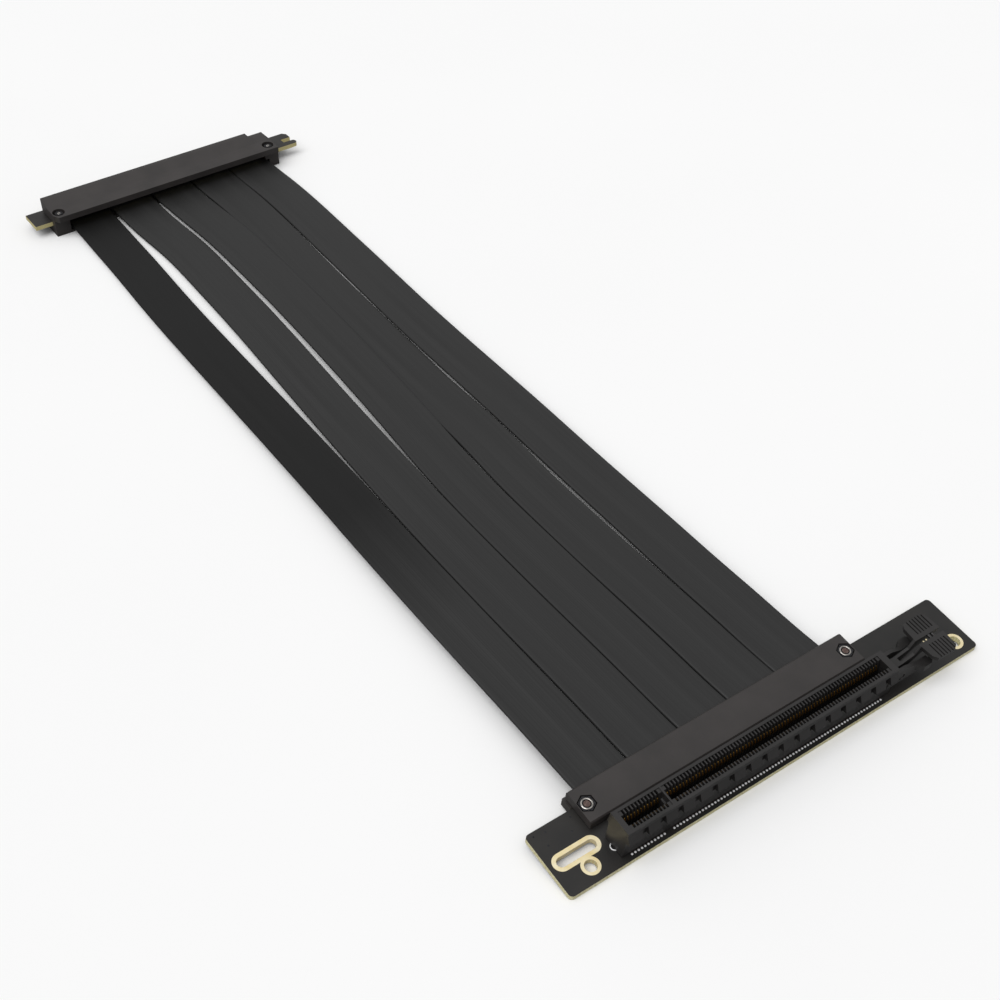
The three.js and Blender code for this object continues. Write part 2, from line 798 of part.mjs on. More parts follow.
const socketEnd = new THREE.Group();
socketEnd.rotation.x = tilt;
socketEnd.position.z = lift;
socketEnd.add(socketBoard(), socketHousing(), cardLatch(), socketUpperCover(), socketLowerCover());
screwPlaces.forEach((place, i) => {
  socketEnd.add(socketScrew(`socket_screw_${i + 1}`, place), socketNut(`socket_nut_${i + 1}`, place));
});

const plugEnd = new THREE.Group();
plugEnd.position.y = plugDistance;
plugEnd.rotation.z = plugTurn;
plugEnd.add(plugBoard(), plugUpperCover(), plugLowerCover());
plugScrews.forEach((place, i) => {
  plugEnd.add(plugScrew(`plug_screw_${i + 1}`, place));
});

const rigid = new THREE.Group();
rigid.add(socketEnd, plugEnd);
rigid.updateMatrixWorld(true);
const bounds = new THREE.Box3().setFromObject(rigid, true);

const ribbons = new THREE.Group();
ribbonRoutes.forEach((route, i) => {
  ribbons.add(ribbon(`ribbon_${i + 1}`, i, route));
});

// The origin is the middle of the two ends' footprint, on the table
const group = new THREE.Group();
group.add(rigid, ribbons);
group.position.set(-(bounds.min.x + bounds.max.x) / 2, -(bounds.min.y + bounds.max.y) / 2, -bounds.min.z);
group.updateMatrixWorld(true);

export default group;
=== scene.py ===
"""Looks of a riser cable for a graphics card: a socket board, five flat ribbons and a covered edge plug."""

import bmesh
import bpy
import numpy as np
from mathutils import Matrix, Vector


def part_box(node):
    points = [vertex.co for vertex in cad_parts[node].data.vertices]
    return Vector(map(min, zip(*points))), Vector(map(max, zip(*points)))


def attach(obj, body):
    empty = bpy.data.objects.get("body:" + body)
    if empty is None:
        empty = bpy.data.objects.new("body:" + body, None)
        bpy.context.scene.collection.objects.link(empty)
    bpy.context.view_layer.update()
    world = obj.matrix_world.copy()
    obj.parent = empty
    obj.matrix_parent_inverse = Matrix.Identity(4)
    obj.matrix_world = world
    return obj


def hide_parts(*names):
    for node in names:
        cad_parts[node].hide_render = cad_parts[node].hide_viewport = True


bl_info = {
    "name": "Riser cable",
    "version": (1, 0, 0),
    "blender": (4, 5, 0),
    "location": "3D View > Sidebar > Riser cable",
    "description": "Dresses the riser cable's frame: ribbons, boards, slot, covers, screws and the studio",
    "category": "Object",
}

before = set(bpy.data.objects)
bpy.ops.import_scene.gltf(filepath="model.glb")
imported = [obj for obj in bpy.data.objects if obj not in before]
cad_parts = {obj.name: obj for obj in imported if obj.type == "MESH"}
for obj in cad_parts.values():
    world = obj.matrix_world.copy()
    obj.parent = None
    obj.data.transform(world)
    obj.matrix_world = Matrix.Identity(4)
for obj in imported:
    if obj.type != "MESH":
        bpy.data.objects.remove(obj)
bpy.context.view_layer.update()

MM = 0.001

# The socket board's own axes: tilted back about X by the rise of its covers over their depth
COVER_DEPTH = 3.1
BOARD_THICKNESS = 1.6
COVER_FOOT = 11.6
BOARD_FRONT = -1.35
BOARD_RIGHT = 118.83
TILT = float(np.arctan2(COVER_DEPTH - BOARD_THICKNESS, COVER_FOOT - BOARD_FRONT))
LIFT = BOARD_THICKNESS * np.cos(TILT) - BOARD_FRONT * np.sin(TILT)
BOARD_UP = Vector((0.0, -np.sin(TILT), np.cos(TILT)))

# The route's table axes start at the slot's first contact; the frame's start in the middle of the part
BOARD_LOW, BOARD_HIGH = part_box("socket_board")
SHIFT = np.array([BOARD_HIGH.x / MM - BOARD_RIGHT, BOARD_LOW.y / MM - BOARD_FRONT * np.cos(TILT), 0.0])

# The plug end lies a little askew
PLUG_DISTANCE = 333.3
PLUG_TURN = float(np.radians(0.9))

# Camera, in the table axes, from the photograph's perspective
CAMERA_PLACE = (-143.796, -147.346, 297.917)
CAMERA_PITCH = 0.734535
CAMERA_YAW = 0.617477
CAMERA_ROLL = 0.008211
FOCAL_SHARE = 1.477434
SENSOR = 36.0

# Ribbon routes in millimetres: stations along Y, the height of the ribbon's top, the place of its middle
STATIONS = [17, 22, 30, 45, 60, 80, 100, 125, 150, 175, 200, 225, 250, 275, 300, 318, 334, 343]
COMMON_TOPS = [5.2, 5.7, 5.75, 5.6, 5.4, 5.0, 4.6, 4.1, 3.6, 3.1, 2.6, 2.2, 1.9, 1.7, 1.6, 1.8, 2.5, 3.0]
RAISED_TOPS = [5.2, 5.7, 5.75, 5.6, 5.4, 5.0, 4.6, 4.1, 4.0, 3.8, 3.4, 3.2, 3.05, 2.95, 2.8, 2.6, 2.5, 3.0]
SUNK_TOPS = [5.2, 5.7, 5.75, 5.6, 5.4, 5.0, 4.6, 4.1, 3.3, 2.25, 1.8, 1.5, 1.35, 1.35, 1.4, 1.7, 2.5, 3.0]
ROUTES = [
    (
        COMMON_TOPS,
        [6.7, 6.3, 6.3, 6.4, 6.4, 6.5, 6.7, 7.1, 7.7,
         8.1, 8.4, 8.6, 8.8, 9.3, 10.1, 10.3, 10.2, 9.9],
    ),
    (
        COMMON_TOPS,
        [23.4, 22.9, 22.8, 22.9, 22.9, 22.9, 23.1, 23.6, 24.5,
         25.6, 26.9, 28.3, 29.4, 30, 30, 28.6, 27.6, 27.3],
    ),
    (
        RAISED_TOPS,
        [39.9, 39.4, 39.2, 39.3, 39.3, 39.3, 39.5, 40.0, 41.3,
         43.1, 44.7, 45.9, 46.7, 47, 46.7, 45.6, 44.8, 44.3],
    ),
    (
        SUNK_TOPS,
        [56.4, 55.9, 55.7, 55.8, 55.8, 55.7, 55.9, 56.6, 58.2,
         58.6, 59.4, 60.2, 61, 62, 62.9, 62.7, 61.5, 60.9],
    ),
    (
        COMMON_TOPS,
        [72.8, 72.3, 72.1, 72.3, 72.4, 72.9, 73.3, 73.9, 74.7,
         75.2, 75.7, 76.5, 77.6, 78.5, 79.3, 79.1, 77.9, 77.4],
    ),
]

# Depth of a ribbon's rounded edge as a share of half its thickness
EDGE_SHARE = 0.92
# Cross curl: where it sets in and ends along Y, over how far it eases, and its share on ribbons 2 to 5
CURL_START = 40
CURL_END = 330
CURL_EASE = 60
LESSER_CURL = 0.35
# Least air between a ribbon and the table
TABLE_AIR = 0.05

# Broken edges: the least angle of such an edge in degrees, and the steps across it
EDGE_ANGLE = 32.0
EDGE_STEPS = 2
# Points this near in metres are one point, and faces this near in degrees are one face
SAME_POINT = 1e-6
SAME_FACE = 0.5

# The row of contacts, in millimetres on the board: one a millimetre, with a step at the key
CONTACT_COUNT = 82
CONTACTS_BEFORE_KEY = 11
KEY_STEP = 2

# Spring contacts: width, half thickness, and the line as (distance from the slot's middle, height)
SLOT_MIDDLE = 3.75
CONTACT_WIDTH = 0.36
CONTACT_HALF_THICKNESS = 0.11
CONTACT_LINE = [(2.42, 1.68), (2.3, 3.6), (1.2, 6.6), (0.78, 7.7), (0.86, 8.3), (1.26, 9.1)]

# Grooves of the slot's hood, with their section as (y, z)
GROOVE_COUNT = 16
GROOVE_PITCH = 5.335
FIRST_GROOVE = 2.45
GROOVE_WIDTH = 1.75
GROOVE_SECTION = [(-2.0, 6.2), (0.8, 6.2), (0.8, 7.1), (2.0, 9.45), (-2.0, 9.45)]

# Plated holes of the socket board: (start, end, y, hole, rim) of the slot, (x, y, hole, rim) of the others
SLOT_RING = (-15.4, -6.7, 7.3, 1.4, 2.45)
NEAR_RING = (-10.15, 2.85, 1.7, 2.5)
FAR_RING = (114.1, 3.0, 1.7, 2.55)
SPARE_VIA = (107.4, 7.6, 0.35, 0.75)
# The round rings stand this much higher than the slot's; a wall's plating runs from inset to overlap
RING_RISE = 0.004
WALL_INSET = 0.05
WALL_OVERLAP = 0.02
SLOT_SIDES = 64
HOLE_SIDES = 48

# Solder round the housing's peg, and the small vias with their domed profile as (radius, height)
PEG_JOINT = (-2.3, 3.85, 0.95, 1.2)
PEG_HEIGHT = 0.25
PEG_SIDES = 32
VIA_PLACES = [(-6.53, 15.84), (-8.47, 12.56), (-14.0, 15.8), (-17.18, 16.28), (-15.51, 12.51)]
VIA_PROFILE = [(0.28, 0.0), (0.28, 0.02), (0.02, 0.03)]
VIA_SIDES = 14

# Solder domes: height as a share of the radius; contact tails: section as (y, z)
DOME_SHARE = 0.9
DOME_RINGS = 4
DOME_SIDES = 10
TAIL_SECTION = [(0.1, 0.01), (1.3, 0.01), (1.3, 0.16), (0.1, 0.16)]
TAIL_HALF_WIDTH = 0.12

# Nut tops and plug screw heads: where they are, how high, and the profile turned on them
NUT_PLACES = [(-2.15, 15.5), (84.2, 15.5)]
NUT_TOP = 2.85
NUT_CHAMFER = [(1.2, 0), (1.28, 0.09), (1.5, 0.09), (1.6, 0)]
NUT_SIDES = 36
PLUG_SCREW_PLACES = [(-1.7, 3.6), (86.5, 3.6)]
PLUG_HEAD_TOP = 8.6
SOCKET_RIM = [(0.34, 0), (0.4, 0.06), (0.55, 0.06), (0.62, 0)]
SOCKET_SIDES = 28

# Plug board's contact fingers, in millimetres of the plug end
PLUG_BOARD_FOOT = 3.4
FINGER_WIDTH = 0.7
FINGER_ROOT = 16.6
FINGER_TIP = 21.3
FINGER_HEIGHT = 0.03

# Floor and lights: metres, degrees, and the strengths of the sun and of the white dome
FLOOR_HALF = 40.0
FLOOR_SINK = 0.00002
SUN_STRENGTH = 1.49
SUN_SPREAD = 55
SUN_TOWARDS = (0.5, 0.1, -0.86)
DOME_AT_HORIZON = 0.3
DOME_OVERHEAD = 0.75
DOME_SEEN = 0.94


def srgb(code):
    """Linear colour of an sRGB hex value such as 0x3A3A3A."""
    parts = np.array([(code >> 16) & 255, (code >> 8) & 255, code & 255]) / 255.0
    linear = np.where(parts <= 0.04045, parts / 12.92, ((parts + 0.055) / 1.055) ** 2.4)
    return (*[float(c) for c in linear], 1.0)


def to_frame(points):
    """Table points in millimetres as frame points in metres."""
    return (np.asarray(points, float) + SHIFT) * MM


def board_points(points):
    """Socket-board points in millimetres (origin at the first contact's joint) as frame points in metres:
    turned about X by the tilt, then lifted."""
    p = np.atleast_2d(np.asarray(points, float))
    y = p[:, 1] * np.cos(TILT) - p[:, 2] * np.sin(TILT)
    z = p[:, 1] * np.sin(TILT) + p[:, 2] * np.cos(TILT) + LIFT
    return to_frame(np.column_stack([p[:, 0], y, z]))


def plug_points(points):
    """Plug-end points in millimetres (u along the slot, v away from the socket) as frame points in metres:
    turned about Z, then moved out by the plug's distance."""
    p = np.atleast_2d(np.asarray(points, float))
    x = p[:, 0] * np.cos(PLUG_TURN) - p[:, 1] * np.sin(PLUG_TURN)
    y = p[:, 0] * np.sin(PLUG_TURN) + p[:, 1] * np.cos(PLUG_TURN) + PLUG_DISTANCE
    return to_frame(np.column_stack([x, y, p[:, 2]]))


def add(tree, kind, settings=None, **links):
    """Adds one shader node, sets its properties and inputs, and links its inputs by name or number."""
    node = tree.nodes.new(kind)
    for key, value in (settings or {}).items():
        if isinstance(key, str) and hasattr(node, key):
            setattr(node, key, value)
        else:
            node.inputs[key].default_value = value
    for key, source in links.items():
        name = key.replace("_", " ")
        target = node.inputs[int(key[1:])] if key[0] == "i" and key[1:].isdigit() else node.inputs[name]
        tree.links.new(source, target)
    return node


def new_material(name):
    """An empty material with a Principled shader on its output; returns the material, its tree and shader."""
    material = bpy.data.materials.new(name)
    material.use_nodes = True
    tree = material.node_tree
    tree.nodes.clear()
    output = tree.nodes.new("ShaderNodeOutputMaterial")
    shader = tree.nodes.new("ShaderNodeBsdfPrincipled")
    tree.links.new(shader.outputs[0], output.inputs["Surface"])
    return material, tree, shader


def ramp(tree, factor, stops):
    """A colour ramp from (position, colour) stops."""
    node = tree.nodes.new("ShaderNodeValToRGB")
    elements = node.color_ramp.elements
    elements[0].position, elements[0].color = stops[0]
    elements[1].position, elements[1].color = stops[-1]
    for position, colour in stops[1:-1]:
        element = elements.new(position)
        element.color = colour
    tree.links.new(factor, node.inputs[0])
    return node.outputs[0]


def noise(tree, where, scale, detail):
    """Value of a noise texture at a place."""
    return add(tree, "ShaderNodeTexNoise", {"Scale": scale, "Detail": detail}, Vector=where).outputs[0]


def total(tree, first, second):
    """Sum of two sources."""
    return add(tree, "ShaderNodeMath", {"operation": "ADD"}, i0=first, i1=second).outputs[0]


def mixed(tree, factor, first, second):
    """Colour that goes from the first source to the second as the factor goes from 0 to 1."""
    return add(tree, "ShaderNodeMix", {"data_type": "RGBA"}, i0=factor, i6=first, i7=second).outputs[2]


def set_roughness(tree, shader, source, low, high):
    """Roughness from low to high as the source goes from 0 to 1."""
    gloss = add(tree, "ShaderNodeMapRange", {"To Min": low, "To Max": high}, Value=source)
    tree.links.new(gloss.outputs[0], shader.inputs["Roughness"])


def set_bump(tree, shader, source, strength, distance_mm):
    """Fine relief that follows the source."""
    bump = add(tree, "ShaderNodeBump", {"Strength": strength, "Distance": distance_mm * MM}, Height=source)
    tree.links.new(bump.outputs[0], shader.inputs["Normal"])


def moulded_plastic(name, dark, light, roughness, grain_mm, bump):
    """Injection-moulded plastic with a spark-eroded grain: two close greys drift over some millimetres, and
    a fine bump of the grain's size breaks up the shine."""
    material, tree, shader = new_material(name)
    where = add(tree, "ShaderNodeTexCoord").outputs["Object"]
    drift = noise(tree, where, 1 / (9 * MM), 3.0)
    grain = noise(tree, where, 1 / (grain_mm * MM), 2.0)
    colour = ramp(tree, drift, [(0.3, srgb(dark)), (0.7, srgb(light))])
    tree.links.new(colour, shader.inputs["Base Color"])
    set_roughness(tree, shader, grain, roughness - 0.05, roughness + 0.05)
    set_bump(tree, shader, grain, bump, 0.02)
    return material


def cable_jacket(name, dark, light, roughness, shine, near=None):
    """Extruded soft vinyl jacket over a row of parallel wires, with UV in millimetres: u across, v along.
    The wires below show as fine lengthwise lines, and slow streaks run along the ribbon. With a near pair
    of greys the jacket starts in those, and goes over to its own from 85 to 140 mm of v: the paler near
    greys are painted light, where that first stretch slopes towards the light."""
    material, tree, shader = new_material(name)
    place = add(tree, "ShaderNodeUVMap", {"uv_map": "across_along"}).outputs[0]
    fine = add(tree, "ShaderNodeMapping", {"Scale": (1.6, 0.012, 1.0)}, Vector=place)
    wide = add(tree, "ShaderNodeMapping", {"Scale": (0.22, 0.004, 1.0)}, Vector=place)
    streak = noise(tree, fine.outputs[0], 1.0, 4.0)
    band = noise(tree, wide.outputs[0], 1.0, 2.0)
    both = total(tree, streak, band)
    halved = add(tree, "ShaderNodeMath", {"operation": "MULTIPLY", 1: 0.5}, i0=both).outputs[0]
    colour = ramp(tree, halved, [(0.36, srgb(dark)), (0.64, srgb(light))])
    # Painted light: with the near greys the jacket is paler over its first stretch, which slopes towards the
    # light
    if near:
        pale = ramp(tree, halved, [(0.36, srgb(near[0])), (0.64, srgb(near[1]))])
        parts = add(tree, "ShaderNodeSeparateXYZ", i0=place)
        far = add(tree, "ShaderNodeMapRange", {"From Min": 85.0, "From Max": 140.0}, Value=parts.outputs[1])
        colour = mixed(tree, far.outputs[0], pale, colour)
    tree.links.new(colour, shader.inputs["Base Color"])
    bands = {"wave_type": "BANDS", "bands_direction": "X", "wave_profile": "SIN"}
    lines = add(tree, "ShaderNodeTexWave", {**bands, "Scale": 0.5, "Distortion": 0.0}, Vector=place)
    speck = noise(tree, place, 3.0, 2.0)
    relief = total(tree, total(tree, lines.outputs[1], streak), speck)
    set_bump(tree, shader, relief, 0.25, 0.03)
    set_roughness(tree, shader, halved, roughness - 0.06, roughness + 0.06)
    shader.inputs["Specular IOR Level"].default_value = shine
    return material


def circuit_board(name, mask_colour, sunk_colour, edge_colour, up):
    """Glass-fibre laminate under matt black solder mask: faces across the board's thickness are sawn edges,
    which show the cream laminate; the mask has faint clouds and a fine weave bump from the glass cloth."""
    material, tree, shader = new_material(name)
    where = add(tree, "ShaderNodeTexCoord").outputs["Object"]
    cloud = noise(tree, where, 1 / (6 * MM), 4.0)
    mask = ramp(tree, cloud, [(0.35, srgb(sunk_colour)), (0.65, srgb(mask_colour))])
    fibres = noise(tree, where, 1 / (0.5 * MM), 3.0)
    sawn = ramp(tree, fibres, [(0.3, srgb(0xCBC08A)), (0.7, srgb(edge_colour))])
    normal = add(tree, "ShaderNodeNewGeometry").outputs["Normal"]
    facing = add(tree, "ShaderNodeVectorMath", {"operation": "DOT_PRODUCT", 1: tuple(up)}, i0=normal)
    size = add(tree, "ShaderNodeMath", {"operation": "ABSOLUTE"}, i0=facing.outputs["Value"])
    flat = add(tree, "ShaderNodeMath", {"operation": "GREATER_THAN", 1: 0.5}, i0=size.outputs[0])
    tree.links.new(mixed(tree, flat.outputs[0], sawn, mask), shader.inputs["Base Color"])
    weave = add(tree, "ShaderNodeTexVoronoi", {"Scale": 1 / (0.6 * MM)}, Vector=where)
    set_bump(tree, shader, weave.outputs["Distance"], 0.12, 0.01)
    shader.inputs["Roughness"].default_value = 0.42
    return material


def metal(name, dark, light, roughness, grain_mm, metallic=1.0):
    """Plated or blackened metal: a bright shader whose colour and roughness wander at the grain's size. A
    satin plating that scatters light is given as partly metallic."""
    material, tree, shader = new_material(name)
    where = add(tree, "ShaderNodeTexCoord").outputs["Object"]
    grain = noise(tree, where, 1 / (grain_mm * MM), 3.0)
    colour = ramp(tree, grain, [(0.3, srgb(dark)), (0.7, srgb(light))])
    tree.links.new(colour, shader.inputs["Base Color"])
    set_roughness(tree, shader, grain, roughness - 0.06, roughness + 0.1)
    shader.inputs["Metallic"].default_value = metallic
    return material


# Each finish: what makes it, then its colours and looks
FINISHES = {
    # Soft vinyl jacket, dark neutral grey with a low sheen
    "vinyl_jacket": (cable_jacket, 0x1C1C1C, 0x272727, 0.52, 0.45),
    # The first ribbon's darker greys, with painted light: paler near the socket, where it slopes towards the
    # light
    "vinyl_jacket_dark": (cable_jacket, 0x0F0F0F, 0x161616, 0.55, 0.28, (0x272727, 0x323232)),
    # Covers, a warm dark grey with a satin grain
    "abs_cover": (moulded_plastic, 0x2D2A29, 0x363231, 0.46, 0.35, 0.3),
    # Slot and latch, nearly black
    "nylon_slot": (moulded_plastic, 0x1E1D1C, 0x272525, 0.45, 0.3, 0.25),
    "board_mask": (circuit_board, 0x201E1C, 0x181716, 0xFFFAD2, BOARD_UP),
    "plug_board_mask": (circuit_board, 0x2A2826, 0x201E1D, 0xD8CB92, (0, 0, 1)),
    "gold_plating": (metal, 0xF3DFA6, 0xFFF4D2, 0.3, 3.0, 0.45),
    "tin_solder": (metal, 0xE6E6E6, 0xFFFFFF, 0.3, 0.5, 0.3),
    "spring_gold": (metal, 0x8A6A33, 0xC29B52, 0.35, 0.4),
    "zinc_steel": (metal, 0x8E8A84, 0xD6D2CC, 0.3, 0.6),
    "bronzed_steel": (metal, 0x5A4A46, 0x84716B, 0.4, 0.5),
    "black_oxide_steel": (metal, 0x2A2A2C, 0x47474A, 0.38, 0.5),
}
MATERIALS = {}


def finish_of(name):
    """The named material, made on first use."""
    if name not in MATERIALS:
        maker, *looks = FINISHES[name]
        MATERIALS[name] = maker(name, *looks)
    return MATERIALS[name]


def new_piece(name, vertices, faces, finish, body="root", smooth=True):
    """Makes a mesh object at the origin from points in metres, and lets it ride on a body."""
    mesh = bpy.data.meshes.new(name)
    mesh.from_pydata(np.asarray(vertices, float).tolist(), [], [list(map(int, f)) for f in faces])
    mesh.update()
    if smooth:
        mesh.shade_smooth()
    else:
        mesh.shade_flat()
    obj = bpy.data.objects.new(name, mesh)
    bpy.context.scene.collection.objects.link(obj)
    obj.data.materials.append(finish_of(finish))
    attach(obj, body)
    return obj


def grid_faces(rows, columns, closed_rows=False, closed_columns=False, first=0):
    """Quads over a rows by columns grid of points, wrapping where closed."""
    r = np.arange(rows if closed_rows else rows - 1)
    c = np.arange(columns if closed_columns else columns - 1)
    i, j = np.meshgrid(r, c, indexing="ij")
    i2, j2 = (i + 1) % rows, (j + 1) % columns
    quads = np.stack([i * columns + j, i * columns + j2, i2 * columns + j2, i2 * columns + j], -1)
    return quads.reshape(-1, 4) + first


def smooth_route(values, samples):
    """A natural cubic through the stations' values, read at the samples along Y: the second derivatives
    solve the usual three-term system, and are zero at both ends."""
    x = np.array(STATIONS, float)
    y = np.array(values, float)
    h = np.diff(x)
    n = len(x)
    system = np.eye(n)
    right = np.zeros(n)
    for k in range(1, n - 1):
        system[k, k - 1 : k + 2] = h[k - 1], 2 * (h[k - 1] + h[k]), h[k]
        right[k] = 6 * ((y[k + 1] - y[k]) / h[k] - (y[k] - y[k - 1]) / h[k - 1])
    m = np.linalg.solve(system, right)
    at = np.clip(np.searchsorted(x, samples, side="right") - 1, 0, n - 2)
    a, b = x[at + 1] - samples, samples - x[at]
    return (
        m[at] * a**3 / (6 * h[at])
        + m[at + 1] * b**3 / (6 * h[at])
        + (y[at] / h[at] - m[at] * h[at] / 6) * a
        + (y[at + 1] / h[at] - m[at + 1] * h[at] / 6) * b
    )


def ribbon_section(width, thickness, corner_steps=4, flat_steps=22):
    """Half-round edged strip section as (x, z) rows, anticlockwise seen from the plug: points along the
    top, round one edge, back along the bottom and round the other."""
    radius = thickness / 2 * EDGE_SHARE
    flat = np.linspace(-1, 1, flat_steps) * (width / 2 - radius)
    round_right = np.linspace(np.pi / 2, -np.pi / 2, corner_steps * 2 + 1)[1:-1]
    top = np.column_stack([flat, np.full(flat_steps, thickness / 2)])
    right_x = width / 2 - radius + radius * np.cos(round_right)
    right = np.column_stack([right_x, thickness / 2 * np.sin(round_right)])
    bottom = np.column_stack([flat[::-1], np.full(flat_steps, -thickness / 2)])
    left = np.column_stack([-right[:, 0], -right[:, 1]])
    return np.vstack([top, right, bottom, left])


def ribbon(number, settings):
    """One flat ribbon: the section carried along the route, its middle sunk a little below its edges (a
    cross curl) except near both ends, and kept just off the table."""
    tops, middles = ROUTES[number]
    width, thickness = settings.width / MM, settings.thickness / MM
    along = np.linspace(STATIONS[0], STATIONS[-1], settings.steps)
    middle = smooth_route(middles, along)
    top = smooth_route(tops, along)
    slope = np.gradient(middle, along)
    section = ribbon_section(width, thickness)
    count = len(section)
    share = np.clip((along - CURL_START) / CURL_EASE, 0, 1) * np.clip((CURL_END - along) / CURL_EASE, 0, 1)
    curl = settings.curl / MM * (1.0 if number == 0 else LESSER_CURL) * share[:, None]
    across = section[None, :, 0] / (width / 2)
    height = top[:, None] - thickness / 2 + section[None, :, 1] + curl * (across**2 - 1) * 0.5
    height = np.maximum(height, section[None, :, 1] + thickness / 2 + TABLE_AIR)
    x = middle[:, None] + section[None, :, 0] * np.sqrt(1 + slope[:, None] ** 2)
    y = np.broadcast_to(along[:, None], x.shape)
    points = to_frame(np.stack([x, y, height], -1).reshape(-1, 3))
    rows = settings.steps
    faces = [list(f) for f in grid_faces(rows, count, closed_columns=True)]
    faces.append(list(range(count))[::-1])
    faces.append([(rows - 1) * count + j for j in range(count)])
    name = f"ribbon_jacket_{number + 1}"
    obj = new_piece(name, points, faces, settings.finish(number))
    paint_ribbon_uv(obj, section, along, count)
    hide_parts(f"ribbon_{number + 1}")
    return obj


def paint_ribbon_uv(obj, section, along, count):
    """UV in millimetres: u is the walk round the section from its first point, v the station along Y."""
    walk = np.concatenate([[0], np.cumsum(np.linalg.norm(np.diff(section, axis=0), axis=1))])
    mesh = obj.data
    uv = mesh.uv_layers.new(name="across_along")
    index = np.zeros(len(mesh.loops), int)
    mesh.loops.foreach_get("vertex_index", index)
    values = np.column_stack([walk[index % count], along[index // count]])
    uv.data.foreach_set("uv", values.astype(np.float32).ravel())


def softened(node, name, finish, width_mm, body="root"):
    """A copy of a CAD node with its edges broken: doubles merged, flat faces joined, then a small bevel on
    every sharp edge. It stands for the node."""
    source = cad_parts[node]
    mesh = source.data.copy()
    mesh.name = name
    work = bmesh.new()
    work.from_mesh(mesh)
    bmesh.ops.remove_doubles(work, verts=work.verts, dist=SAME_POINT)
    bmesh.ops.dissolve_limit(
        work,
        angle_limit=float(np.radians(SAME_FACE)),
        verts=work.verts,
        edges=work.edges,
        use_dissolve_boundaries=False,
    )
    work.to_mesh(mesh)
    work.free()
    mesh.materials.clear()
    mesh.materials.append(finish_of(finish))
    obj = bpy.data.objects.new(name, mesh)
    bpy.context.scene.collection.objects.link(obj)
    bevel = obj.modifiers.new("broken_edges", "BEVEL")
    bevel.width = width_mm * MM
    bevel.segments = EDGE_STEPS
    bevel.limit_method = "ANGLE"
    bevel.angle_limit = float(np.radians(EDGE_ANGLE))
    bevel.use_clamp_overlap = True
    mesh.shade_smooth()
    weighted = obj.modifiers.new("flat_faces", "WEIGHTED_NORMAL")
    weighted.weight = 100
    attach(obj, body)
    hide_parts(node)
    return obj


def finish_node(node, finish):
    """Gives a CAD node that stays as it is its procedural material."""
    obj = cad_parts[node]
    obj.data.materials.clear()
    obj.data.materials.append(finish_of(finish))


def turned(profile, centre, sides=40):
    """Points and faces of a profile of (radius, height) turned about Z at a centre, in its own axes."""
    angle = np.linspace(0, 2 * np.pi, sides, endpoint=False)
    radius = np.array([p[0] for p in profile])
    height = np.array([p[1] for p in profile])
    x = centre[0] + radius[:, None] * np.cos(angle)
    y = centre[1] + radius[:, None] * np.sin(angle)
    z = np.broadcast_to(height[:, None], x.shape)
    points = np.stack([x, y, z], -1).reshape(-1, 3)
    faces = [list(f) for f in grid_faces(len(profile), sides, closed_columns=True)]
    return points, faces


def ring_points(path, inner, outer, low, high, sides):
    """A flat plated ring: the same closed outline at two offsets and two heights, as a four-row grid that
    closes on itself. path(offset) gives the outline at that offset."""
    rows = [(outer, low), (outer, high), (inner, high), (inner, low)]
    points = np.vstack([np.column_stack([path(r, sides), np.full(sides, z)]) for r, z in rows])
    return points, grid_faces(4, sides, closed_rows=True, closed_columns=True)


def circle_path(x, y):
    """Outline of a circle round (x, y) as a function of its radius and the number of points."""

    def path(radius, sides):
        angle = np.linspace(0, 2 * np.pi, sides, endpoint=False)
        return np.column_stack([x + radius * np.cos(angle), y + radius * np.sin(angle)])

    return path


def slot_path(start, end, y):
    """Outline of an obround with its ends' centres at start and end, as a function of its radius."""

    def path(radius, sides):
        half = sides // 2
        right = np.linspace(-np.pi / 2, np.pi / 2, half)
        left = np.linspace(np.pi / 2, 1.5 * np.pi, sides - half)
        one = np.column_stack([end + radius * np.cos(right), y + radius * np.sin(right)])
        two = np.column_stack([start + radius * np.cos(left), y + radius * np.sin(left)])
        return np.vstack([one, two])

    return path


def joined(parts):
    """Several (points, faces) as one pair."""
    points, faces, first = [], [], 0
    for p, f in parts:
        points.append(np.asarray(p, float))
        faces.extend([[int(i) + first for i in face] for face in f])
        first += len(p)
    return np.vstack(points), faces


def fitted(name, parts, place, finish, lift=0.0, smooth=False):
    """One piece of small parts in millimetres, raised by the lift and put on the board or the plug end."""
    points, faces = joined(parts)
    points[:, 2] += lift
    return new_piece(name, place(points), faces, finish, smooth=smooth)


class RISER_PG_ribbons(bpy.types.PropertyGroup):
    """Sizes of the flat ribbons."""

    width: bpy.props.FloatProperty(
        name="Width",
        description="Width of a ribbon",
        default=0.01625,
        unit="LENGTH",
    )
    thickness: bpy.props.FloatProperty(
        name="Thickness",
        description="Thickness of a ribbon",
        default=0.0012,
        unit="LENGTH",
    )
    curl: bpy.props.FloatProperty(
        name="Cross curl",
        description="How far a ribbon's middle is sunk below its edges",
        default=0.0003,
        unit="LENGTH",
    )
    steps: bpy.props.IntProperty(
        name="Steps",
        description="Rings of points along a ribbon",
        default=160,
        min=20,
    )

    def finish(self, number):
        """The first ribbon has darker greys than the rest, and painted light near the socket."""
        return "vinyl_jacket_dark" if number == 0 else "vinyl_jacket"


class RISER_PG_board(bpy.types.PropertyGroup):
    """Sizes of the socket board's plated rings and solder joints."""

    plating: bpy.props.FloatProperty(
        name="Plating",
        description="Height of a plated ring above the board",
        default=0.00005,
        unit="LENGTH",
    )
    joint_radius: bpy.props.FloatProperty(
        name="Solder joint",
        description="Radius of one solder joint in the front row",
        default=0.00033,
        unit="LENGTH",
    )


